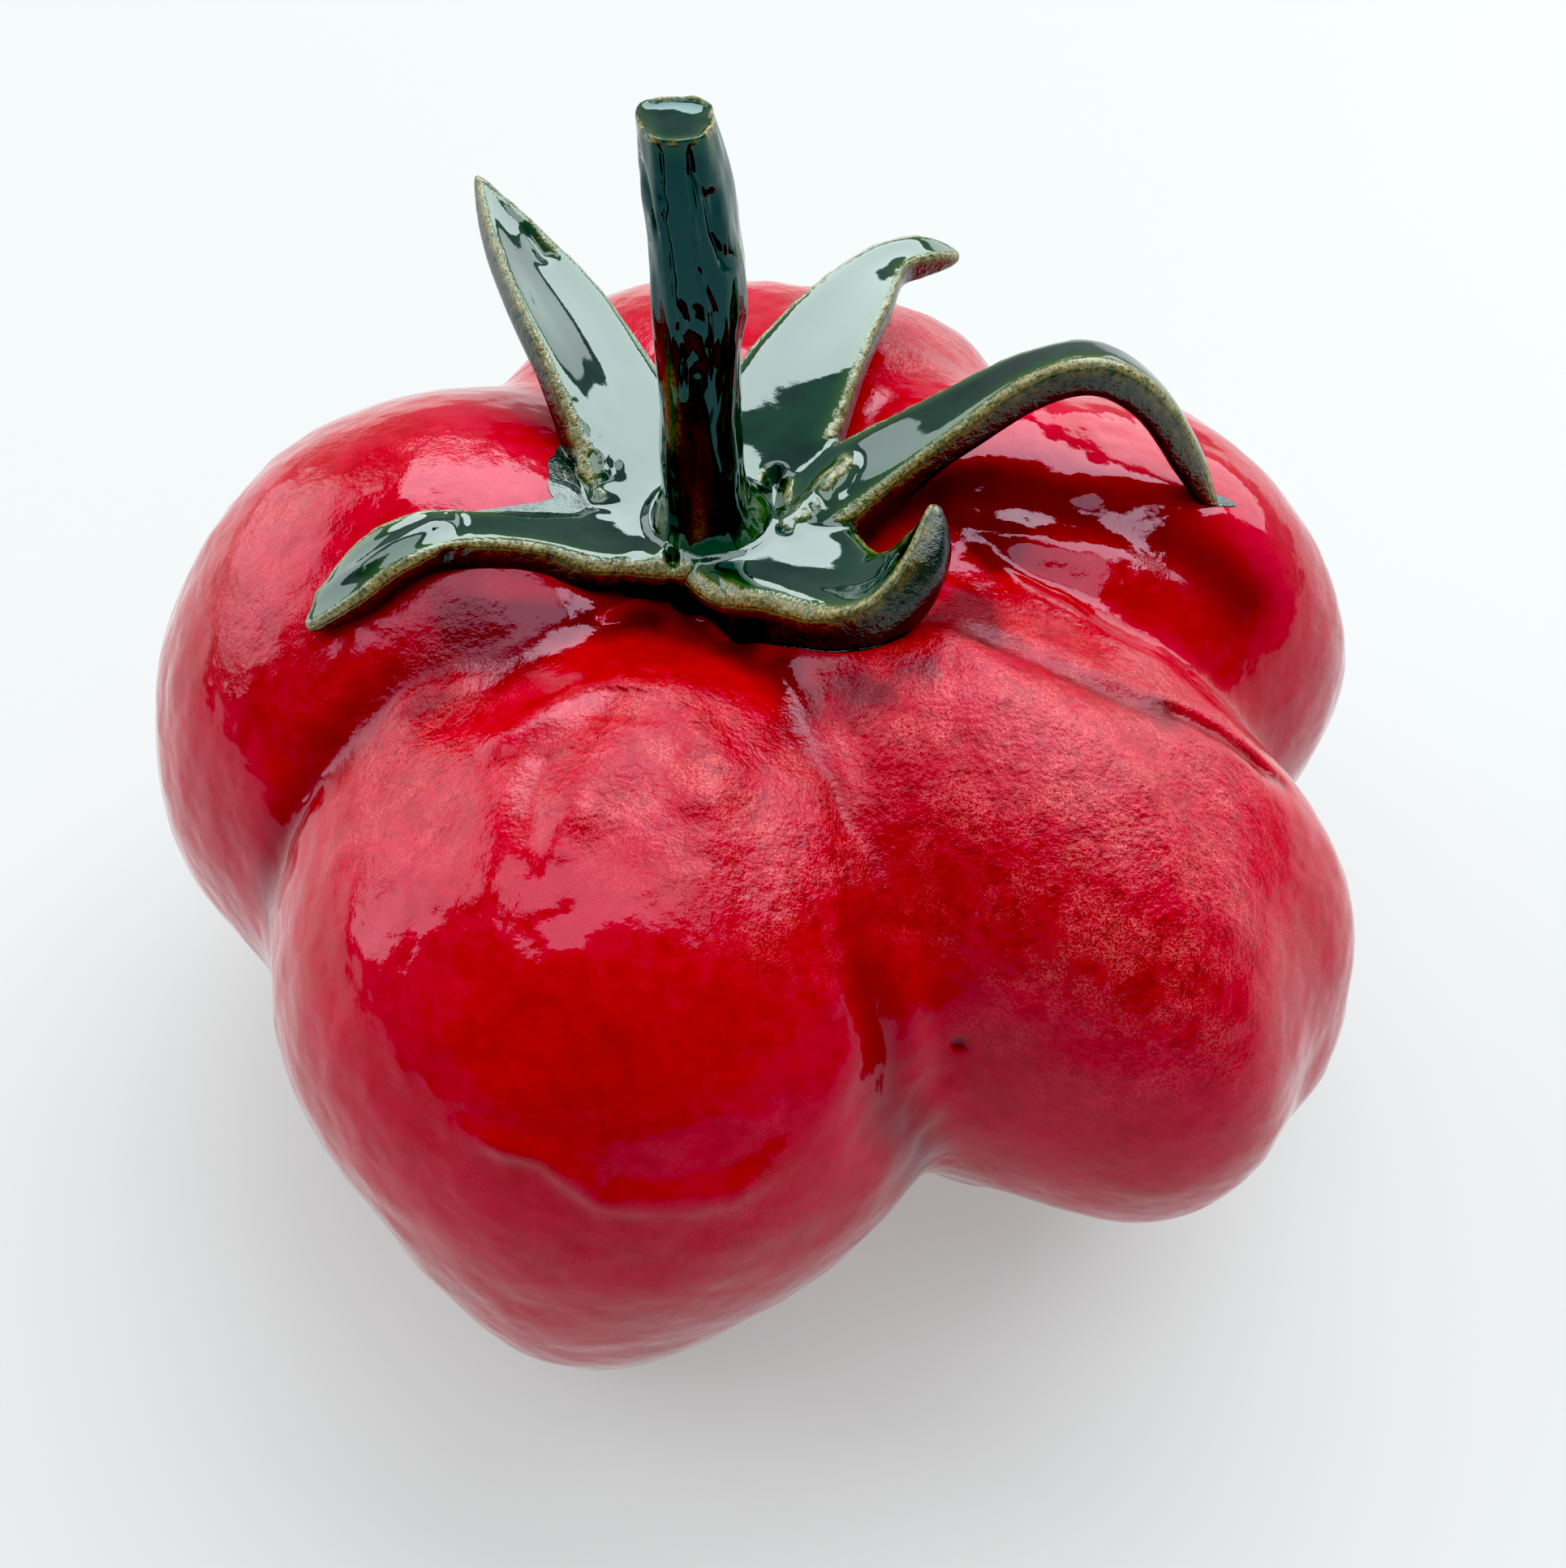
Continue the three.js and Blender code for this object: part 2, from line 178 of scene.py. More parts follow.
# ---- Fineness of the visible meshes ----
BODY_SEGMENTS = 500
BODY_RINGS_UP, BODY_RINGS_DOWN = 165, 160
INNER_RINGS = 14
CALYX_VOXEL = 0.21
SLAB_SQUARE = 0.45
# The gap at the front between two sepals: azimuth, half width and share of the pad taken out.
NOTCH_AT, NOTCH_WIDTH, NOTCH_DEPTH = math.radians(245), math.radians(24), 0.36
# How much thicker the slab is at a sepal's root, and the sepals where that differs.
ROOT_EXTRA, ROOTS = 1.7, {"sepal_left": -0.3}
STEM_SIDES, STEM_RINGS = 132, 260

# ---- Light: radiances are in units of a white card in the open ----
WORLD_BRIGHT, WORLD_DARK = 0.48, 0.3
WORLD_COLOUR = (0.93, 0.98, 1, 1)
DARK_AZIMUTH = -78
# Soft boxes: azimuth, elevation, width, height and radiance.
SOFTBOXES = {
    "window_left": (158, 28, 2.4, 1.9, 2.1),
    "window_back_right": (44, 21, 1.9, 0.95, 2.4),
    "overhead": (64, 57, 3.3, 1.55, 4.8),
    "zenith": (-90, 80, 3.2, 1.1, 2.2),
}
SOFTBOX_COLOUR = (0.95, 0.99, 1)
SOFTBOX_DISTANCE = 2.5
SOFTBOX_AIM = (0, 0, 0.04)
FLOOR_HALF = 12.0
FLOOR_COLOUR = (0.3, 0.305, 0.305, 1)
FLOOR_GLOW, FLOOR_GLOW_COLOUR = 0.36, (0.97, 1, 1, 1)
BLACK_LEVEL = 0.03

# ---- Camera, in mm, mm and degrees ----
CAMERA_ELEVATION, CAMERA_DISTANCE, CAMERA_ROLL = 50.25, 131.6, 1.21
CAMERA_AIM = (3.2, -0.93, 30.0)
SENSOR, LENS = 36, 35.96


# ---- Numbers: smooth steps, noise and curves ----
def smooth(low, high, value):
    t = np.clip((value - low) / (high - low), 0.0, 1.0)
    return t * t * (3.0 - 2.0 * t)


def lattice_value(cell, seed):
    """A repeatable random value from 0 to 1 for each whole-number cell."""
    n = cell.astype(np.int64)
    h = n[..., 0] * 374761393 + n[..., 1] * 668265263 + n[..., 2] * 2147483647 + seed * 974634541
    h = (h ^ (h >> 13)) * 1274126177
    return ((h ^ (h >> 16)) & 0xFFFFF) / float(0xFFFFF)


def noise(points, size, seed):
    """Smooth noise from -1 to 1 with lumps of about `size` mm."""
    q = points / size
    cell = np.floor(q)
    f = q - cell
    f = f * f * (3.0 - 2.0 * f)
    total = 0.0
    for dx in (0, 1):
        for dy in (0, 1):
            for dz in (0, 1):
                weight = (
                    (f[..., 0] if dx else 1 - f[..., 0])
                    * (f[..., 1] if dy else 1 - f[..., 1])
                    * (f[..., 2] if dz else 1 - f[..., 2])
                )
                total = total + weight * lattice_value(cell + np.array([dx, dy, dz]), seed)
    return 2.0 * total - 1.0


def spline(stations, column, at):
    """Catmull-Rom reading of one column of a station table at fractional indices."""
    values = np.array([s[column] for s in stations], float)
    last = len(values) - 1
    k = np.clip(np.floor(at).astype(int), 0, last - 1)
    f = at - k
    a, b = values[k], values[k + 1]
    rise = (b - values[np.maximum(k - 1, 0)]) / 2
    fall = (values[np.minimum(k + 2, last)] - a) / 2
    square = 3 * (b - a) - 2 * rise - fall
    cube = 2 * (a - b) + rise + fall
    return a + rise * f + square * f**2 + cube * f**3


def distance_to_path(points, path):
    """Distance of each point to a polyline, and the share of its length where it is nearest."""
    path = np.array(path, float)
    steps = len(path) - 1
    best = np.full(len(points), 1e9)
    where = np.zeros(len(points))
    for i in range(steps):
        a, ab = path[i], path[i + 1] - path[i]
        t = np.clip(((points - a) @ ab) / (ab @ ab), 0, 1)
        d = np.linalg.norm(points - a - t[:, None] * ab, axis=1)
        closer = d < best
        best[closer] = d[closer]
        where[closer] = (i + t[closer]) / steps
    return best, where


def unit(v):
    return v / np.linalg.norm(v, axis=-1, keepdims=True)


# ---- Body ----
def body_reach(d):
    """Distance from the ray centre to the plain lobed surface, for unit directions."""
    down = d[:, 2] < 0
    flat = np.hypot(d[:, 0], d[:, 1]) / BELLY_RADIUS
    tall = d[:, 2] / np.where(down, BELLY_DOWN, BELLY_UP)
    total = (1 / np.hypot(flat, tall) / BLEND_SIZE) ** BLEND_POWER
    for azimuth, out, length, width, height, level in LOBES:
        c, s = math.cos(math.radians(azimuth)), math.sin(math.radians(azimuth))
        ux = (d[:, 0] * c + d[:, 1] * s) / length
        uy = (d[:, 1] * c - d[:, 0] * s) / width
        uz = d[:, 2] / height
        ox, oz = -out / length, (RAY_CENTRE[2] - level) / height
        square = ux * ux + uy * uy + uz * uz
        along = ux * ox + uz * oz
        inside = ox * ox + oz * oz - 1
        root = np.sqrt(np.maximum(along**2 - square * inside, 0))
        total += (np.maximum((root - along) / square, 1) / BLEND_SIZE) ** BLEND_POWER
    return BLEND_SIZE * total ** (1 / BLEND_POWER)


# Marks of the potter's fingers and tools: path in mm, half width, and height above the surface.
BODY_STROKES = [
    # furrows where the lobes meet
    ([(4, -17, 54), (7, -24, 52), (8, -31, 48), (9, -36, 40), (12, -35, 29)], 2.4, -0.8),
    ([(14, -9, 57), (19, -12, 57), (24, -14, 55), (28, -15, 54)], 1.3, -0.8),
    ([(28, -14, 54), (33, -15, 51), (37, -16, 48)], 0.8, -0.8),
    ([(-15, -10, 56), (-23, -12, 54), (-30, -16, 48), (-34, -19, 39)], 2.4, -0.8),
    # pleats on the right lobe
    ([(15, 4, 57), (21, 4, 57), (27, 2.5, 57), (33, 1, 55), (38, -1, 51)], 2.8, -1.1),
    ([(15, -1, 56), (21, -4.5, 55), (27, -8, 54), (33, -9, 51)], 1.5, 0.6),
    ([(18, -1, 56), (26, -4, 55), (33, -6, 52), (38, -6, 48)], 1.6, -0.6),
    # pinched ridges that run out from under the calyx
    (
        [(11, -12, 57), (14, -11, 57), (17, -15, 57), (21, -17, 56), (25, -21, 55), (26, -24, 54)],
        2.2,
        0.6,
    ),
    ([(-6, -13, 56), (-7, -18, 57), (-9, -23, 57), (-11, -27, 57)], 1.9, 0.9),
    ([(-6, -13, 56), (-10, -15, 57), (-14, -18, 57), (-17, -20, 56)], 2.0, 0.9),
    ([(-5.5, -13, 56), (-3.5, -17, 57), (-2, -21, 56.5), (-2, -26, 56)], 1.6, 1.0),
    ([(-12, -20, 57), (-13, -24, 57), (-13, -28, 56)], 1.3, -0.5),
    ([(5, -13, 55), (5.5, -17, 54), (7, -20, 53), (7.5, -23, 52)], 1.1, 0.4),
    ([(4, -19, 54), (5, -23, 53), (7, -25, 52), (8, -29, 49)], 1.3, 0.35),
    ([(-17, -8, 57), (-16, -12, 56), (-18, -16, 55), (-21, -14, 54)], 1.8, -0.3),
    ([(-18, -12, 55), (-22, -12.5, 54), (-24, -14, 53)], 0.8, 0.4),
    # dimples that a fingertip left
    ([(-21, -26, 53), (-19, -25, 55), (-17, -26, 55)], 1.5, -0.15),
    ([(-0.7, -26.5, 55), (0.3, -28.7, 54), (1.5, -29.3, 53)], 0.8, -0.2),
    ([(-7.5, -15, 57), (-8, -18.5, 57)], 2.2, -0.5),
    # the join of the two body parts, where it shows
    ([(-18, -40, 45), (-12, -42, 45), (-9, -43, 42), (-1, -43, 41), (2, -41, 42)], 1.0, 0.35),
    # the pool of glaze under the front notch of the calyx
    ([(-9.6, -6.5, 55), (-8.3, -5.2, 54.5), (-7.1, -4.3, 54), (-5.6, -3.4, 53.1)], 0.5, 0.7),
    ([(-5.6, -3.4, 53.1), (-3.8, -2.9, 51.9), (-2.4, -3.8, 51.6), (-1.2, -6.2, 52.6)], 0.5, 0.7),
]
# Where the potter's hand pushed the wall out or in: place, spread and height.
SWELLS = [
    ((38, 16, 51), 8, 1.7),
    ((25, 22, 55), 6, -1.8),
    ((19, 31, 50), 5, 0.9),
    ((1, 35, 54), 6, 0.8),
    ((22, -33, 15), 7, -2.0),
    ((-27, -38, 28), 8, -1.1),
    ((-18, 34, 49), 5, -0.8),
    ((48, 1, 29), 6, -0.6),
    ((42, -17, 41), 6, 0.5),
    ((41, -29.5, 30), 4.5, 1.1),
    ((-44, -8, 32), 7, 0.6),
    ((-42, 8, 49), 7, -0.6),
]
# Pinholes in the glaze: place, radius and depth.
PINHOLES = [
    ((14, -32, 41), 0.55, 0.35),
    ((10, -29, 48), 0.25, 0.15),
    ((12, -28, 47), 0.25, 0.15),
    ((23, -28, 52), 0.3, 0.15),
]
# Painted shade on the red glaze under the edges of the calyx, where the calyx shades the body: path
# and half width.
PAINTED_SHADE_UNDER_CALYX = [
    ([(-19, -8, 57), (-15, -8, 56), (-10, -7, 55), (-7, -5, 54)], 2.0),
    (
        [(0, -8, 53.5), (2.4, -11, 54), (5.5, -13.5, 55), (9, -14, 56), (12, -13, 57), (15, -9, 57)],
        2.5,
    ),
    ([(15, -9, 57), (17, -3, 55), (18, 3, 57)], 2.5),
]
# Where the glaze is pebbled: place, spread in mm, and how strongly.
PEBBLED = [
    ((14, -19, 56), 10, 1.0),
    ((26, -18, 55), 11, 1.0),
    ((23, -27, 46), 10, 0.8),
    ((-5, -21, 57), 7, 1.0),
    ((2, -28, 55), 7, 0.6),
    ((-22, -22, 54), 8, 0.5),
    ((-20, -14, 54), 7, 0.5),
    ((-30, 4, 56), 12, 0.4),
    ((14, 26, 54), 12, 0.6),
    ((-10, 28, 54), 10, 0.3),
]


def body_detail(p):
    """Height of the hand-made surface above the plain lobes, in mm."""
    lift = 0.28 * noise(p, 15, 1) + 0.17 * noise(p, 6.5, 2)
    lift += 0.1 * noise(p, 2.6, 3) + 0.035 * noise(p, 1.1, 4)
    wander = 1 + 0.3 * noise(p, 3.5, 7)
    for place, spread, height in SWELLS:
        lift += height * np.exp(-((np.linalg.norm(p - np.array(place), axis=1) / spread) ** 2))
    for path, width, height in BODY_STROKES:
        far, where = distance_to_path(p, path)
        far = far * wander
        fade = smooth(0, 0.15, where) * (1 - smooth(0.8, 1, where))
        lift += height * np.exp(-((far / width) ** 2)) * (0.35 + 0.65 * fade)
    for place, radius, depth in PINHOLES:
        far = np.linalg.norm(p - np.array(place), axis=1)
        lift -= depth * np.exp(-((far / radius) ** 2))
    return lift * smooth(2, 10, p[:, 2])


def body_surface(d):
    """Points of the visible outer surface in the unit directions `d`, in mm."""
    plain = d * body_reach(d)[:, None]
    lift = body_detail(plain + RAY_CENTRE)
    p = plain + d * lift[:, None] + RAY_CENTRE
    # pressed down on the table, which gives it a flat foot with a rounded rim
    p[:, 2] -= PRESS_DEPTH * (1 - smooth(PRESS_FULL, PRESS_START, p[:, 2]))
    rounding = 0.5
    p[:, 2] = np.maximum(0.5 * (p[:, 2] + np.hypot(p[:, 2], rounding)) - 0.05, 0)
    return p


def directions(polar, azimuth):
    return np.stack(
        [np.sin(polar) * np.cos(azimuth), np.sin(polar) * np.sin(azimuth), np.cos(polar)], -1
    )


def body_normals(d):
    """Outward normals of the visible surface, from two small steps across it."""
    step = 1e-3
    polar = np.arccos(np.clip(d[:, 2], -1, 1))
    azimuth = np.arctan2(d[:, 1], d[:, 0])
    polar = np.clip(polar, 0.02, math.pi - 0.02)

    def place(south, east):
        return body_surface(directions(polar + south, azimuth + east))

    return unit(np.cross(place(step, 0) - place(-step, 0), place(0, step) - place(0, -step)))


def seam_angles(azimuth):
    """The polar angle at which each meridian crosses the seam's height."""
    low, high = np.full(len(azimuth), 0.3), np.full(len(azimuth), 2.0)
    for _ in range(30):
        middle = (low + high) / 2
        above = body_surface(directions(middle, azimuth))[:, 2] > SEAM_HEIGHT
        low = np.where(above, middle, low)
        high = np.where(above, high, middle)
    return (low + high) / 2


def mesh_object(name, points, faces):
    mesh = bpy.data.meshes.new(name)
    mesh.from_pydata((np.asarray(points) * MM).tolist(), [], faces)
    mesh.validate()
    mesh.polygons.foreach_set("use_smooth", [True] * len(mesh.polygons))
    made = bpy.data.objects.new(name, mesh)
    bpy.context.scene.collection.objects.link(made)
    return made


def float_attribute(obj, name, values):
    layer = obj.data.attributes.new(name, "FLOAT", "POINT")
    layer.data.foreach_set("value", np.asarray(values, np.float32))


def points_of(obj):
    co = np.empty(len(obj.data.vertices) * 3, np.float64)
    obj.data.vertices.foreach_get("co", co)
    return co.reshape(-1, 3) / MM


def ring_faces(rings, segments, flip=False):
    """Quads between successive rings of `segments` points each, numbered ring by ring."""
    faces = []
    for i in range(rings - 1):
        for j in range(segments):
            k = (j + 1) % segments
            near, far = i * segments, (i + 1) * segments
            quad = (near + j, far + j, far + k, near + k)
            faces.append(quad[::-1] if flip else quad)
    return faces


def body_half(name, upper, azimuth, seam):
    """One half of the hollow body: outer skin, flat seam and inner wall, as one closed mesh."""
    n = len(azimuth)
    count = BODY_RINGS_UP if upper else BODY_RINGS_DOWN
    pole = 0.0 if upper else math.pi
    share = np.linspace(0, 1, count + 1)[1:]
    polar = pole + share[:, None] * (seam[None, :] - pole)
    turn = np.broadcast_to(azimuth, polar.shape)
    d = directions(polar.ravel(), turn.ravel())
    outer = body_surface(d)
    normals = body_normals(d)
    pole_d = np.array([[0.0, 0.0, math.cos(pole)]])
    inner_rows = np.linspace(0, count - 1, INNER_RINGS).astype(int)[::-1]
    row = (outer - RAY_CENTRE).reshape(count, n, 3)[inner_rows].reshape(-1, 3)
    reach = np.linalg.norm(row, axis=1)
    inner = row * ((reach - WALL) / reach)[:, None] + RAY_CENTRE
    inner[:, 2] = np.maximum(inner[:, 2], WALL)
    inner[:n, 2] = SEAM_HEIGHT
    top = body_surface(pole_d)
    inner_pole = np.array([[0, 0, top[0, 2] - WALL if upper else WALL]])
    points = np.vstack([outer, inner, top, inner_pole])
    rings = count + len(inner_rows)
    faces = ring_faces(rings, n, flip=not upper)
    first, last = len(points) - 2, len(points) - 1
    end = (rings - 1) * n
    for j in range(n):
        k = (j + 1) % n
        cap = (first, j, k)
        floor = (last, end + k, end + j)
        faces.append(cap if upper else cap[::-1])
        faces.append(floor if upper else floor[::-1])
    half = mesh_object(name, points, faces)
    keep = np.zeros((len(points), 3))
    keep[: len(outer)] = normals
    keep[first] = (0, 0, 1 if upper else -1)
    half.data.normals_split_custom_set_from_vertices(keep.tolist())
    return half


def pooling_and_shade(p):
    """Where the glaze lies thick and dark: up to 1 in the furrows, low on the ridges; it also
    carries painted shade under the calyx.
    """
    total = np.full(len(p), 0.3)
    for path, width, height in BODY_STROKES:
        far, _ = distance_to_path(p, path)
        total -= 0.7 * height * np.exp(-((far / (width * 1.2)) ** 2))
    # painted shade: darker under the edges of the calyx, where the calyx shades the body
    for path, width in PAINTED_SHADE_UNDER_CALYX:
        far, _ = distance_to_path(p, path)
        total += 0.7 * np.exp(-((far / width) ** 2)) * (1 + 0.5 * noise(p, 1.5, 8))
    for place, radius, _ in PINHOLES:
        total += 1.5 * np.exp(-((np.linalg.norm(p - np.array(place), axis=1) / radius) ** 2))
    return np.clip(total, 0, 1)


def pebbling(p):
    """How rough the glaze is: near 0 where it ran smooth, up to 1 where it is pebbled."""
    total = 0.1 + 0.12 * noise(p, 9, 5)
    for place, spread, strength in PEBBLED:
        far = np.linalg.norm(p - np.array(place), axis=1)
        total += strength * np.exp(-((far / spread) ** 2))
    return np.clip(total * (1 + 0.45 * noise(p, 5, 6)), 0, 1)


def build_body(material):
    azimuth = np.linspace(0, 2 * math.pi, BODY_SEGMENTS, endpoint=False)
    seam = seam_angles(azimuth)
    for node, upper in (("body_upper", True), ("body_lower", False)):
        half = body_half(node + "_glazed", upper, azimuth, seam)
        p = points_of(half)
        # the pool attribute holds pooled glaze and painted shade under the calyx
        float_attribute(half, "pool_and_shade", pooling_and_shade(p))
        float_attribute(half, "pebble", pebbling(p))
        float_attribute(half, "height_mm", p[:, 2])
        half.data.materials.append(material)
        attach(half, "root")
        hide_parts(node)


# ---- Calyx ----
def sepal_rings(stations, root, steps=70, sides=56):
    """Rings round a sepal from its root to its tip, with the middle and the upward side of each.

    `root` is how much thicker, in mm, the slab is at its root.
    """
    end = len(stations) - 1
    at = np.linspace(0, end, steps + 1)

    def centre(x):
        x = np.clip(x, 0, end)
        turn = np.radians(spline(stations, 1, x))
        out = spline(stations, 0, x)
        return np.stack(
            [
                CALYX_AXIS[0] + out * np.cos(turn),
                CALYX_AXIS[1] + out * np.sin(turn),
                spline(stations, 2, x),
            ],
            -1,
        )

    middle = centre(at)
    along = unit(centre(at + 0.05) - centre(at - 0.05))
    across = np.array([along[0, 1], -along[0, 0], 0.0])
    rings, ups = [], []
    turn = -2 * math.pi * np.arange(sides) / sides
    x = np.sign(np.cos(turn)) * np.abs(np.cos(turn)) ** SLAB_SQUARE
    y = np.sign(np.sin(turn)) * np.abs(np.sin(turn)) ** SLAB_SQUARE
    for i in range(steps + 1):
        across = across - along[i] * (across @ along[i])
        across /= np.linalg.norm(across)
        roll = math.radians(spline(stations, 5, at[i : i + 1])[0])
        side = across * math.cos(roll) + np.cross(along[i], across) * math.sin(roll)
        up = np.cross(side, along[i])
        wide, thick, curl = (spline(stations, c, at[i : i + 1])[0] for c in (3, 4, 6))
        tip = smooth(0, 1.2, end - at[i])
        scale = 0.2 + 0.8 * math.sqrt(tip)
        # the slab is thickest where it was pressed on at the root
        extra = 0.35 + root * (1 - smooth(7, 17, math.hypot(*(middle[i][:2] - CALYX_AXIS))))
        thick += extra
        ring = middle[i] - up * extra / 2 + np.outer(x * wide * scale, side)
        ring += np.outer(y * thick / 2 * scale + curl * x**2, up)
        rings.append(ring)
        ups.append(up)
    return rings, middle, np.array(ups)


def closed_skin(rings):
    n = len(rings[0])
    points = np.vstack(rings + [[rings[0].mean(0)], [rings[-1].mean(0)]])
    faces = [f[::-1] for f in ring_faces(len(rings), n)]
    first, last, end = len(points) - 2, len(points) - 1, (len(rings) - 1) * n
    for j in range(n):
        k = (j + 1) % n
        faces.append((first, k, j))
        faces.append((last, end + j, end + k))
    return points, faces


def remeshed(points, faces, voxel):
    """The outside of a set of overlapping closed skins, as one even mesh of quads."""
    rough = mesh_object("rough", points, faces)
    rough.data.transform(Matrix.Scale(1 / MM, 4))
    remesh = rough.modifiers.new("Remesh", "REMESH")
    remesh.mode = "VOXEL"
    remesh.voxel_size = voxel
    graph = bpy.context.evaluated_depsgraph_get()
    mesh = bpy.data.meshes.new_from_object(rough.evaluated_get(graph))
    co = np.empty(len(mesh.vertices) * 3)
    mesh.vertices.foreach_get("co", co)
    quads = np.array([p.vertices[:] for p in mesh.polygons])
    bpy.data.objects.remove(rough)
    bpy.data.meshes.remove(mesh)
    return co.reshape(-1, 3), quads


class Web:
    """Neighbour sums over a mesh of quads."""

    def __init__(self, count, quads):
        self.quads = quads
        self.a = quads.ravel()
        self.b = np.roll(quads, -1, axis=1).ravel()
        self.degree = np.bincount(self.a, minlength=count) + np.bincount(self.b, minlength=count)

    def mean(self, values):
        total = np.zeros_like(values)
        np.add.at(total, self.a, values[self.b])
        np.add.at(total, self.b, values[self.a])
        degree = self.degree if values.ndim == 1 else self.degree[:, None]
        return total / degree

    def relaxed(self, values, rounds, share=0.5):
        for _ in range(rounds):
            values = values * (1 - share) + self.mean(values) * share
        return values

    def normals(self, points):
        q = self.quads
        face = np.cross(points[q[:, 2]] - points[q[:, 0]], points[q[:, 3]] - points[q[:, 1]])
        total = np.zeros_like(points)
        for c in range(4):
            np.add.at(total, q[:, c], face)
        return unit(total)


def hub_rings():
    """The roots pressed together round the stem, as one flat round pad."""
    rings = []
    for share in np.linspace(-1, 1, 13):
        radius = HUB_RADIUS * math.sqrt(max(1 - share**2, 0.01)) ** 0.5
        turn = np.linspace(0, 2 * math.pi, 48, endpoint=False)
        radius = radius * (1 - NOTCH_DEPTH * np.exp(-(((turn - NOTCH_AT) / NOTCH_WIDTH) ** 2)))
        ring = np.stack(
            [
                CALYX_AXIS[0] + radius * np.cos(turn),
                CALYX_AXIS[1] + radius * np.sin(turn),
                np.full(len(turn), HUB_MIDDLE + HUB_HALF * share),
            ],
            -1,
        )
        rings.append(ring)
    return rings


def facing(co, normals, middles, ups):
    """How far each point faces the way its sepal's upper side does: 1 on top, 0 on the cut edge."""
    result = np.empty(len(co))
    block = 4000  # points at a time, which keeps the distance table small
    for start in range(0, len(co), block):
        part = slice(start, start + block)
        far = ((co[part, None] - middles[None]) ** 2).sum(-1)
        result[part] = (normals[part] * ups[far.argmin(1)]).sum(1)
    return result


def calyx_detail(co):
    """Height of the hand-made surface above the plain calyx, and how torn or crumpled it is."""
    lift = 0.1 * noise(co, 6, 11) + 0.015 * noise(co, 2.1, 12)
    for path, width, height in CALYX_STROKES:
        far, _ = distance_to_path(co, path)
        lift += height * np.exp(-((far / width) ** 2))
    torn = np.exp(-((np.linalg.norm(co - np.array(TORN_AT), axis=1) / TORN_SPREAD) ** 2))
    crumple, _ = distance_to_path(co, CRUMPLE)
    rough = torn + np.exp(-((crumple / 1.1) ** 2))
    lift += 0.2 * rough * noise(co, 0.9, 13)
    return lift, rough


def pressed_on_body(co):
    """The underside takes the shape of the body it was pressed on, a hair's breadth away."""
    spoke = co - RAY_CENTRE
    reach = np.linalg.norm(spoke, axis=1)
    d = spoke / reach[:, None]
    limit = np.linalg.norm(body_surface(d) - RAY_CENTRE, axis=1) + CALYX_GAP
    return np.where((reach < limit)[:, None], RAY_CENTRE + d * limit[:, None], co)


def build_calyx(material):
    points, faces, start = [], [], 0
    shaped = [sepal_rings(SEPALS[name][1], ROOTS.get(name, ROOT_EXTRA)) for name in SEPALS]
    skins = [closed_skin(rings) for rings, _, _ in shaped]
    skins.append(closed_skin(hub_rings()))
    for p, f in skins:
        points.append(p)
        faces += [tuple(start + i for i in face) for face in f]
        start += len(p)
    co, quads = remeshed(np.vstack(points), faces, CALYX_VOXEL)
    web = Web(len(co), quads)
    co = web.relaxed(co, 4)
    lift, rough = calyx_detail(co)
    co = pressed_on_body(co + web.normals(co) * lift[:, None])
    normals = web.normals(co)
    bulge = ((co - web.relaxed(co, 16)) * normals).sum(1)
    middles = np.vstack([m for _, m, _ in shaped])
    ups = np.vstack([u for _, _, u in shaped])
    face = facing(co, normals, middles, ups)
    corner = smooth(0.2, 0.55, face) * (1 - smooth(0.82, 0.96, face)) * smooth(0.01, 0.05, bulge)
    ring, _ = distance_to_path(co, RING)
    corner *= 1 - np.exp(-((ring / 1.2) ** 4))
    edge = np.clip(1.8 * web.relaxed(corner, 2), 0, 1)
    co = co + normals * (0.06 * edge * noise(co, 0.7, 14))[:, None]
    marks = {
        "edge": np.clip(edge + 0.45 * rough * smooth(0.1, 0.5, noise(co, 0.9, 13)), 0, 1),
        "near": np.clip(2.6 * web.relaxed(edge, 30), 0, 1),
        "face": web.relaxed(face, 2),
    }
    normals = web.normals(co)
    tree = KDTree(len(co))
    for index, point in enumerate(co):
        tree.insert(point, index)
    tree.balance()
    for name, (sector, _) in SEPALS.items():
        build_sepal(name, sector, co, quads, normals, marks, tree, material)


def boundary_loops(bm):
    """The open edges of a mesh, as loops of vertices in order."""
    beside = {}
    for edge in bm.edges:
        if edge.is_boundary:
            a, b = edge.verts
            beside.setdefault(a, []).append(b)
            beside.setdefault(b, []).append(a)
    loops, seen = [], set()
    for start in beside:
        loop, here = [], start
        while here is not None and here not in seen:
            seen.add(here)
            loop.append(here)
            here = next((v for v in beside[here] if v not in seen), None)
        if len(loop) > 2:
            loops.append(loop)
    return loops


def close_wedge(bm, pivot):
    """Closes a wedge cut out round an upright axis: one flat face on each side of the axis."""
    for loop in boundary_loops(bm):
        upper = [v for v in loop if v.co.z > pivot.z]
        lower = [v for v in loop if v.co.z <= pivot.z]
        top, bottom = (min(half, key=lambda v: (v.co - pivot).xy.length) for half in (upper, lower))
        start = loop.index(top)
        loop = loop[start:] + loop[:start]
        end = loop.index(bottom)
        bm.faces.new(loop[: end + 1])
        bm.faces.new([*loop[end:], top])


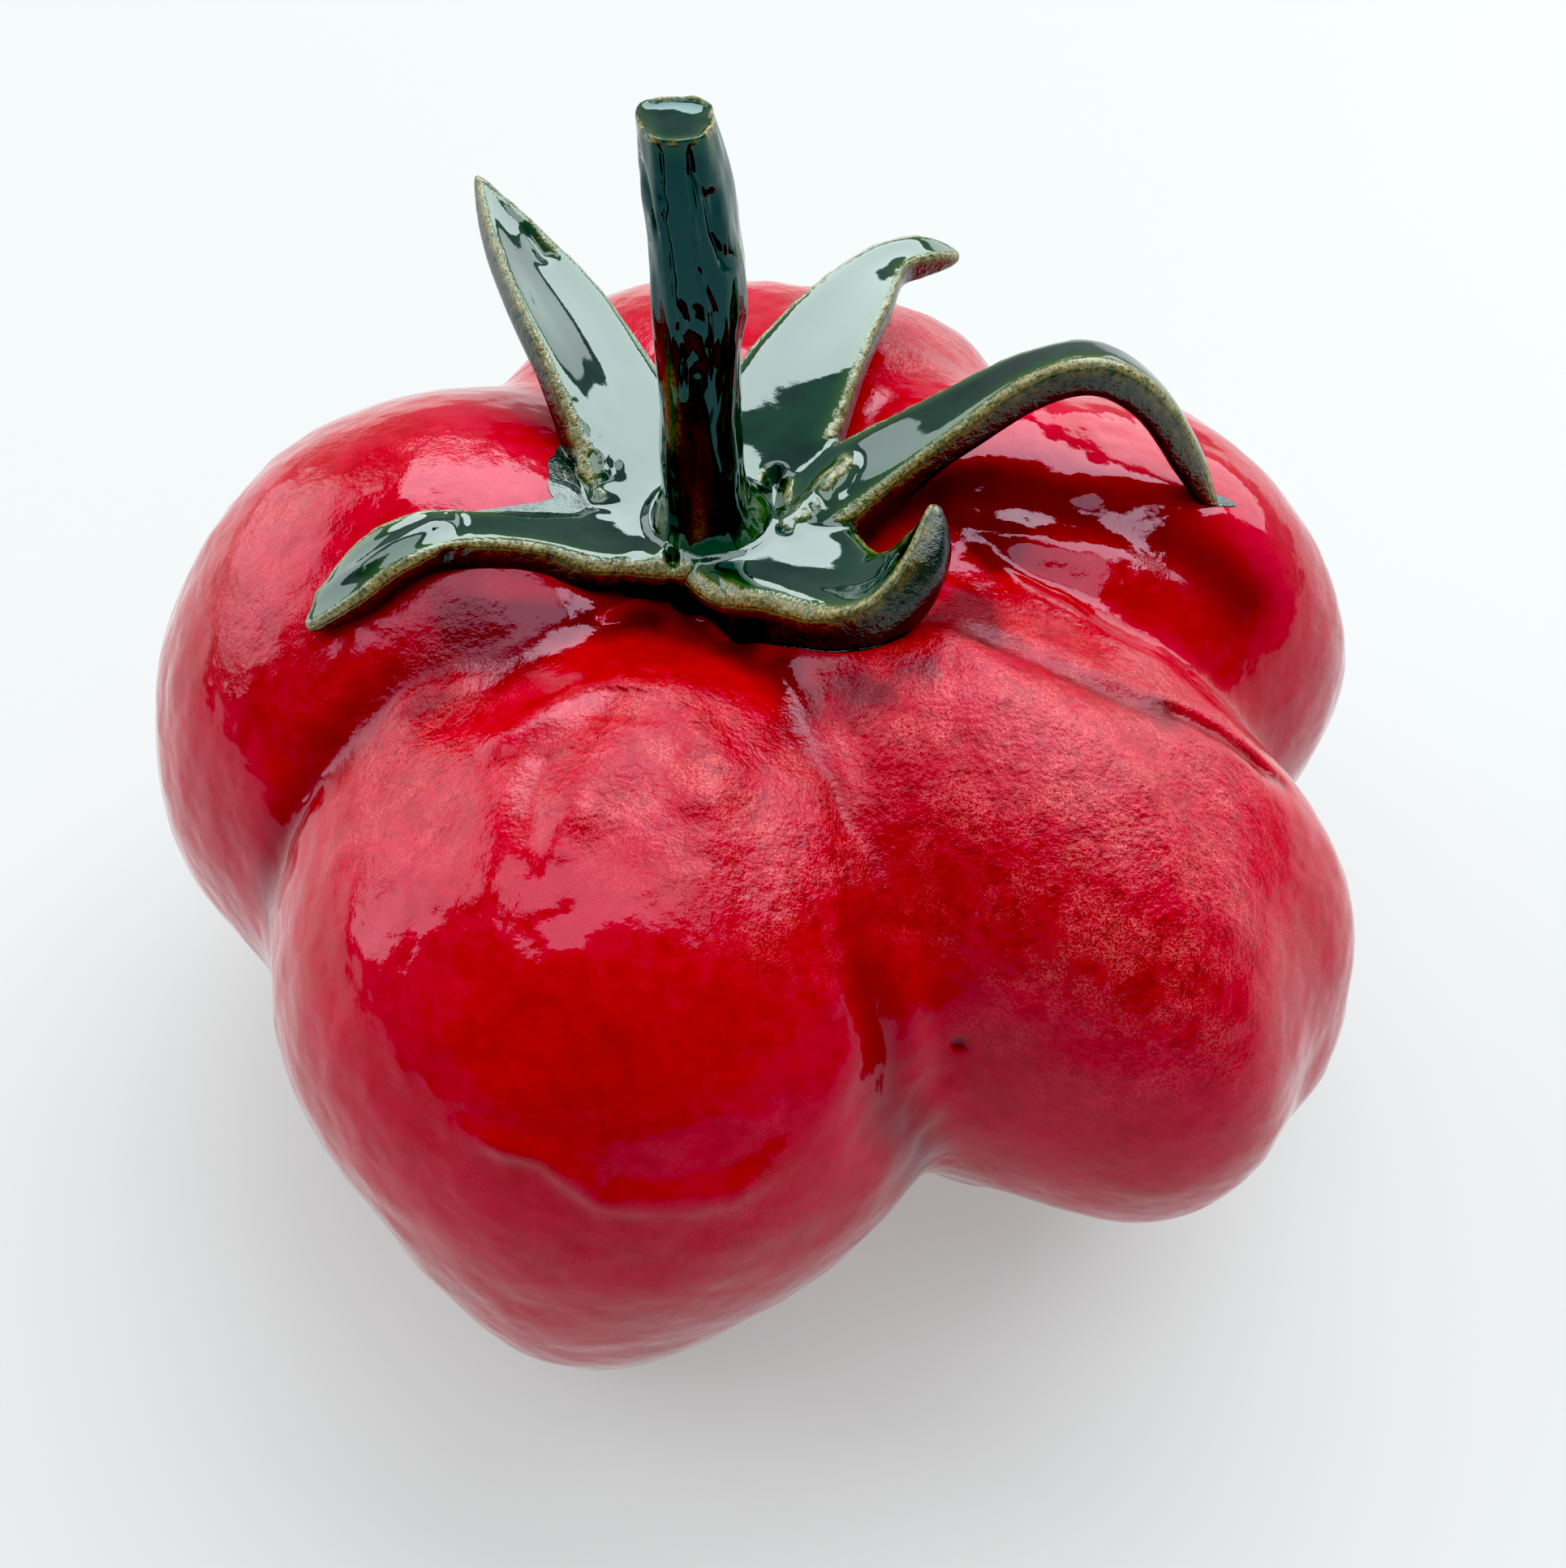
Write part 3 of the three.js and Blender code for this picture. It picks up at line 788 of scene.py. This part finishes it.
def build_sepal(name, sector, co, quads, normals, marks, tree, material):
    """Cuts one sepal out of the pressed-together calyx, along its two joins."""
    piece = mesh_object(name + "_glazed", co, quads.tolist())
    mesh = piece.data
    bm = bmesh.new()
    bm.from_mesh(mesh)
    pivot = Vector((CALYX_AXIS[0], CALYX_AXIS[1], HUB_MIDDLE)) * MM
    for angle, sign in ((sector[0], 1), (sector[1], -1)):
        turn = math.radians(angle)
        out = Vector((-math.sin(turn), math.cos(turn), 0)) * -sign
        geometry = bm.verts[:] + bm.edges[:] + bm.faces[:]
        bmesh.ops.bisect_plane(
            bm, geom=geometry, plane_co=pivot, plane_no=out, clear_outer=True, dist=1e-9
        )
    close_wedge(bm, pivot)
    bmesh.ops.recalc_face_normals(bm, faces=bm.faces[:])
    bm.to_mesh(mesh)
    bm.free()
    # what each point was before the cut, so that the join doesn't show
    before = np.array([tree.find(point)[1] for point in points_of(piece)])
    for key, values in marks.items():
        float_attribute(piece, key, values[before])
    mesh.polygons.foreach_set("use_smooth", [True] * len(mesh.polygons))
    mesh.normals_split_custom_set_from_vertices(normals[before].tolist())
    mesh.materials.append(material)
    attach(piece, "root")
    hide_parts(name)


# ---- Stem ----
def stem_lumps(p, sideways, front):
    """Height of the scored and wrinkled skin of the stem above a plain tube, in mm."""
    stretched = p * np.array([1, 1, 0.16])
    lumps = 0.12 - 0.22 * np.abs(noise(stretched, 1.7, 21)) + 0.1 * noise(stretched, 0.95, 22)
    lumps += 0.05 * noise(p * np.array([1, 1, 0.3]), 0.5, 26) + 0.15 * noise(p, 4, 23)
    lumps += 0.15 + 0.8 * (1 - smooth(56.8, 60, p[:, 2]))
    for path, width, depth in STEM_CRACKS:
        heights = [at[1] for at in path]
        middle = np.interp(p[:, 2], heights[::-1], [at[0] for at in path][::-1])
        far = np.abs(sideways - middle - 0.12 * noise(p, 0.9, 28))
        above_end = smooth(heights[-1] - 0.8, heights[-1] + 0.8, p[:, 2])
        below_start = smooth(heights[0] + 1, heights[0], p[:, 2])
        lumps -= depth * np.exp(-((far / width) ** 2)) * (above_end * below_start) * front
    return lumps


def build_stem(material):
    at = np.linspace(0, len(STEM) - 1, STEM_RINGS)
    turn = 2 * math.pi * np.arange(STEM_SIDES) / STEM_SIDES
    x = np.sign(np.cos(turn)) * np.abs(np.cos(turn)) ** STEM_SQUARE
    y = np.sign(np.sin(turn)) * np.abs(np.sin(turn)) ** STEM_SQUARE
    middle = np.stack([spline(STEM, c, at) for c in range(3)], -1)[:, None, :]
    wide, deep = spline(STEM, 3, at)[:, None], spline(STEM, 4, at)[:, None]
    x *= 1 - STEM_TAPER * (1 - y)
    out = np.stack([wide * x, deep * y, np.zeros((STEM_RINGS, STEM_SIDES))], -1)
    skin = (middle + out).reshape(-1, 3)
    out = out.reshape(-1, 3)
    skin += unit(out) * stem_lumps(skin, out[:, 0], out[:, 1] < 0)[:, None]
    skin[:, 2] -= STEM_TOP_SLOPE * (skin[:, 1] - STEM[-1][1]) * smooth(80, 87.5, skin[:, 2])
    rings = list(skin.reshape(STEM_RINGS, STEM_SIDES, 3))
    rim = rings[-1]
    rim[:, 2] += 0.2 * noise(rim, 1.1, 24)
    end = rim.mean(0)
    for share, drop in STEM_END:
        ring = end + (rim - end) * share
        level = end[2] + (rim[:, 2] - end[2]) * share**6
        ring[:, 2] = level - drop + 0.07 * noise(ring, 1.3, 29)
        rings.append(ring)
    points, faces = closed_skin(rings)
    stem = mesh_object("stem_glazed", points, faces)
    p = points_of(stem)
    to_rim, _ = distance_to_path(p, list(rim[::3]) + [rim[0]])
    edge = smooth(0.42, 0.05, to_rim) * smooth(-0.5, 0.1, noise(p, 0.6, 27))
    streak = noise(p * np.array([1, 1, 0.15]), 1.5, 25)
    brown = smooth(0.45, 0.85, streak + 0.6 * smooth(76, 62, p[:, 2]) * smooth(-3, -4.5, p[:, 0]))
    foot = smooth(61, 57.5, p[:, 2])
    float_attribute(stem, "edge", np.clip(edge + 0.3 * brown, 0, 1))
    float_attribute(stem, "near", np.clip(foot + smooth(1.6, 0, to_rim) * 0.5 + 0.5 * brown, 0, 1))
    float_attribute(stem, "face", np.ones(len(p)))
    stem.data.materials.append(material)
    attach(stem, "root")
    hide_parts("stem")


# ---- Materials ----
RANGE = ("From Min", "From Max", "To Min", "To Max")


class Nodes:
    """Short names for the nodes of one material."""

    def __init__(self, name):
        self.material = bpy.data.materials.new(name)
        self.material.use_nodes = True
        self.tree = self.material.node_tree
        self.shader = self.tree.nodes["Principled BSDF"]

    def add(self, kind, **settings):
        node = self.tree.nodes.new(kind)
        for key, value in settings.items():
            setattr(node, key, value)
        return node

    def link(self, source, target):
        self.tree.links.new(source, target)

    def attribute(self, name):
        return self.add("ShaderNodeAttribute", attribute_name=name).outputs["Fac"]

    def noise(self, scale, detail=3, roughness=0.5, stretch=None):
        place = self.add("ShaderNodeTexCoord").outputs["Object"]
        if stretch:
            mapping = self.add("ShaderNodeMapping")
            mapping.inputs["Scale"].default_value = stretch
            self.link(place, mapping.inputs["Vector"])
            place = mapping.outputs["Vector"]
        node = self.add("ShaderNodeTexNoise")
        node.inputs["Scale"].default_value = scale
        node.inputs["Detail"].default_value = detail
        node.inputs["Roughness"].default_value = roughness
        self.link(place, node.inputs["Vector"])
        return node.outputs["Fac"]

    def grey(self, value, low, high, start=0.0, end=1.0):
        """Maps a value from low..high to start..end, held at both ends."""
        node = self.add("ShaderNodeMapRange")
        for key, number in zip(RANGE, (low, high, start, end)):
            node.inputs[key].default_value = number
        self.link(value, node.inputs["Value"])
        return node.outputs["Result"]

    def maths(self, operation, a, b=0.5):
        node = self.add("ShaderNodeMath", operation=operation)
        for socket, value in zip(node.inputs, (a, b)):
            if isinstance(value, (int, float)):
                socket.default_value = value
            else:
                self.link(value, socket)
        return node.outputs["Value"]

    def mix(self, factor, a, b):
        node = self.add("ShaderNodeMix", data_type="RGBA")
        for socket, value in zip((node.inputs[0], node.inputs[6], node.inputs[7]), (factor, a, b)):
            if isinstance(value, (int, float)):
                socket.default_value = value
            elif isinstance(value, tuple):
                socket.default_value = (*value, 1)
            else:
                self.link(value, socket)
        return node.outputs[2]

    def bump(self, height, strength, distance, below=None):
        node = self.add("ShaderNodeBump")
        node.inputs["Strength"].default_value = strength
        node.inputs["Distance"].default_value = distance
        self.link(height, node.inputs["Height"])
        if below:
            self.link(below, node.inputs["Normal"])
        return node.outputs["Normal"]


def red_glaze():
    n = Nodes("red_glaze")
    cloud = n.noise(110, 4, 0.6)
    mottle = n.noise(900, 5, 0.7)
    clump = n.noise(330, 4, 0.65)
    pebble, pool_and_shade = n.attribute("pebble"), n.attribute("pool_and_shade")
    base = n.mix(n.grey(cloud, 0.35, 0.65), (0.38, 0.0, 0.003), (0.48, 0.0, 0.018))
    base = n.mix(n.maths("MULTIPLY", n.grey(mottle, 0.45, 0.7), 0.5), base, (0.54, 0.006, 0.035))
    # crystals in the glaze: short curly threads, in clumps
    thread = n.maths("ABSOLUTE", n.maths("SUBTRACT", n.noise(4300, 3, 0.65), 0.5))
    clumped = n.grey(clump, 0.42, 0.62, 0.05, 1)
    clumped = n.maths("MULTIPLY", clumped, n.grey(pebble, 0.15, 0.95, 0.04, 0.6))
    crystals = n.maths("MULTIPLY", n.grey(thread, 0.015, 0.05, 1, 0), clumped)
    base = n.mix(crystals, base, (0.84, 0.2, 0.16))
    # dark mottling, and darker still where the glaze lies thick and under the calyx, where shade is
    # painted
    dark = n.maths("MULTIPLY", n.grey(mottle, 0.5, 0.36), n.grey(pebble, 0.1, 0.9, 0.1, 0.6))
    base = n.mix(dark, base, (0.24, 0.0, 0.003))
    # painted shade under the calyx comes in with the pooled glaze here
    base = n.mix(n.grey(pool_and_shade, 0.45, 1.0, 0, 0.9), base, (0.13, 0.0, 0.002))
    # the bare clay of the foot
    foot = n.grey(n.attribute("height_mm"), 0.5, 0.9, 1, 0)
    clay = n.mix(n.grey(mottle, 0.35, 0.65), (0.5, 0.37, 0.27), (0.66, 0.54, 0.43))
    base = n.mix(foot, base, clay)
    n.link(base, n.shader.inputs["Base Color"])
    n.link(n.grey(foot, 0, 1, 0.04, 0.85), n.shader.inputs["Roughness"])
    n.shader.inputs["IOR"].default_value = 1.53
    n.shader.inputs["Specular Tint"].default_value = (1, 0.76, 0.96, 1)
    swell = n.bump(n.noise(230, 3, 0.5), 0.3, 0.0005)
    pebbles = n.maths("MULTIPLY", n.noise(2000, 4, 0.6), n.grey(pebble, 0.25, 0.95, 0.05, 1.5))
    peel = n.bump(pebbles, 0.6, 0.0002, swell)
    waves = n.maths("MULTIPLY", n.noise(700, 4, 0.65), n.grey(pebble, 0.1, 1, 0.16, 1.3))
    n.link(n.bump(waves, 0.4, 0.00022, peel), n.shader.inputs["Normal"])
    return n.material


def green_glaze(name, ior, tint, stretch=None):
    """The green glaze; `tint` colours its reflections and `stretch` draws its marks out."""
    n = Nodes(name)
    cloud = n.noise(190, 4, 0.6, stretch)
    grain = n.noise(4300, 3, 0.65)
    patch = n.noise(1300, 4, 0.65, stretch)
    face, edge, near = n.attribute("face"), n.attribute("edge"), n.attribute("near")
    base = n.mix(n.grey(cloud, 0.35, 0.65), (0.001, 0.008, 0.005), (0.005, 0.032, 0.017))
    base = n.mix(n.maths("MULTIPLY", n.grey(near, 0.03, 0.8), 0.85), base, (0.028, 0.07, 0.012))
    side = n.grey(face, 0.42, 0.1)
    brown = n.maths("MULTIPLY", n.grey(patch, 0.36, 0.6), n.grey(near, 0.05, 0.6, 0.1, 1))
    wall = n.mix(brown, (0.003, 0.005, 0.002), (0.13, 0.085, 0.01))
    wall = n.mix(n.grey(face, -0.1, -0.5), wall, (0.003, 0.003, 0.002))
    base = n.mix(side, base, wall)
    rim = n.mix(n.grey(grain, 0.36, 0.6), (0.07, 0.055, 0.008), (0.34, 0.29, 0.1))
    broken = n.maths("MULTIPLY", n.grey(edge, 0.15, 0.85), n.grey(patch, 0.36, 0.5, 0.25, 1))
    base = n.mix(broken, base, rim)
    n.link(base, n.shader.inputs["Base Color"])
    rough = n.grey(n.maths("MAXIMUM", edge, side), 0.2, 0.9, 0.035, 0.15)
    n.link(rough, n.shader.inputs["Roughness"])
    n.shader.inputs["IOR"].default_value = ior
    n.shader.inputs["Specular Tint"].default_value = (*tint, 1)
    ripple = n.bump(n.noise(260, 2, 0.5, stretch), 0.12, 0.0004)
    height = n.maths("MULTIPLY", patch, n.grey(n.maths("MAXIMUM", edge, side), 0.15, 0.8, 0.02, 1))
    n.link(n.bump(height, 0.6, 0.0003, ripple), n.shader.inputs["Normal"])
    return n.material


# ---- Stage, lights and camera ----
def build_stage():
    mesh = bpy.data.meshes.new("floor")
    corners = [(FLOOR_HALF * x, FLOOR_HALF * y, 0) for x, y in ((-1, -1), (1, -1), (1, 1), (-1, 1))]
    mesh.from_pydata(corners, [], [(0, 1, 2, 3)])
    floor = bpy.data.objects.new("floor", mesh)
    bpy.context.scene.collection.objects.link(floor)
    material = bpy.data.materials.new("floor")
    material.use_nodes = True
    shader = material.node_tree.nodes["Principled BSDF"]
    shader.inputs["Base Color"].default_value = FLOOR_COLOUR
    shader.inputs["Roughness"].default_value = 0.6
    shader.inputs["Emission Color"].default_value = FLOOR_GLOW_COLOUR
    shader.inputs["Emission Strength"].default_value = FLOOR_GLOW
    mesh.materials.append(material)


def direction(azimuth, elevation):
    turn, rise = math.radians(azimuth), math.radians(elevation)
    flat = math.cos(rise)
    return Vector((math.cos(turn) * flat, math.sin(turn) * flat, math.sin(rise)))


def softbox(name, azimuth, elevation, width, height, radiance):
    """A rectangular light, as bright in reflections as `radiance` times a white card."""
    data = bpy.data.lights.new(name, "AREA")
    data.shape = "RECTANGLE"
    data.size, data.size_y = width, height
    data.energy = radiance * math.pi * width * height
    data.color = SOFTBOX_COLOUR
    light = bpy.data.objects.new(name, data)
    light.location = Vector(SOFTBOX_AIM) + direction(azimuth, elevation) * SOFTBOX_DISTANCE
    light.rotation_euler = (-direction(azimuth, elevation)).to_track_quat("-Z", "Y").to_euler()
    bpy.context.scene.collection.objects.link(light)


def build_world():
    """A pale room with a dark side above the camera, where no light comes from."""
    world = bpy.data.worlds.new("studio")
    world.use_nodes = True
    tree = world.node_tree
    background = tree.nodes["Background"]
    place = tree.nodes.new("ShaderNodeTexCoord").outputs["Generated"]

    def map_range(value, low, high, start, end):
        node = tree.nodes.new("ShaderNodeMapRange")
        node.interpolation_type = "SMOOTHSTEP"
        for key, number in zip(RANGE, (low, high, start, end)):
            node.inputs[key].default_value = number
        tree.links.new(value, node.inputs["Value"])
        return node.outputs["Result"]

    def dot(vector):
        node = tree.nodes.new("ShaderNodeVectorMath")
        node.operation = "DOT_PRODUCT"
        node.inputs[1].default_value = vector
        tree.links.new(place, node.inputs[0])
        return node.outputs["Value"]

    def times(a, b):
        node = tree.nodes.new("ShaderNodeMath")
        node.operation = "MULTIPLY"
        tree.links.new(a, node.inputs[0])
        tree.links.new(b, node.inputs[1])
        return node.outputs["Value"]

    side = map_range(dot(direction(DARK_AZIMUTH, 0)), 0.05, 0.45, 0, 1)
    low = map_range(dot((0, 0, 1)), 0.05, 0.35, 0, 1)
    high = map_range(dot((0, 0, 1)), 0.82, 0.95, 1, 0)
    dark = times(times(side, low), high)
    strength = map_range(dark, 0, 1, WORLD_BRIGHT, WORLD_DARK)
    tree.links.new(strength, background.inputs["Strength"])
    background.inputs["Color"].default_value = WORLD_COLOUR
    bpy.context.scene.world = world


def build_lights():
    for name, settings in SOFTBOXES.items():
        softbox(name, *settings)
    build_world()


def set_tone():
    view = bpy.context.scene.view_settings
    view.view_transform = "Standard"
    view.use_curve_mapping = True
    view.curve_mapping.black_level = (BLACK_LEVEL, BLACK_LEVEL, BLACK_LEVEL)


def build_camera():
    rise = math.radians(CAMERA_ELEVATION)
    back, up = CAMERA_DISTANCE * math.cos(rise), CAMERA_DISTANCE * math.sin(rise)
    place = Vector((0, -back, RAY_CENTRE[2] + up))
    data = bpy.data.cameras.new("camera")
    data.sensor_width = SENSOR
    data.lens = LENS
    data.clip_start = 0.005
    camera = bpy.data.objects.new("camera", data)
    turn = (Vector(CAMERA_AIM) - place).to_track_quat("-Z", "Y").to_matrix().to_4x4()
    roll = Matrix.Rotation(math.radians(CAMERA_ROLL), 4, "Z")
    camera.matrix_world = Matrix.Translation(place * MM) @ turn @ roll
    bpy.context.scene.collection.objects.link(camera)
    bpy.context.scene.camera = camera


# ---- The scene ----
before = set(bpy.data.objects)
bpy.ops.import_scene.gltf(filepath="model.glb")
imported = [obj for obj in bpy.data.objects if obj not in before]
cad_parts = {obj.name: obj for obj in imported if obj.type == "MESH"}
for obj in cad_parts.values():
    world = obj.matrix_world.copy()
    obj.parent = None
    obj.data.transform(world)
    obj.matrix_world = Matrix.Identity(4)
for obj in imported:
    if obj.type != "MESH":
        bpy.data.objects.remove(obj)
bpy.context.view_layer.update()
build_camera()
build_stage()
build_lights()
red = red_glaze()
green = green_glaze("green_glaze", 1.95, (0.86, 1, 0.98))
dark_green = green_glaze("stem_glaze", 1.75, (0.55, 0.86, 0.95), (1, 1, 0.15))
build_body(red)
build_calyx(green)
build_stem(dark_green)
set_tone()
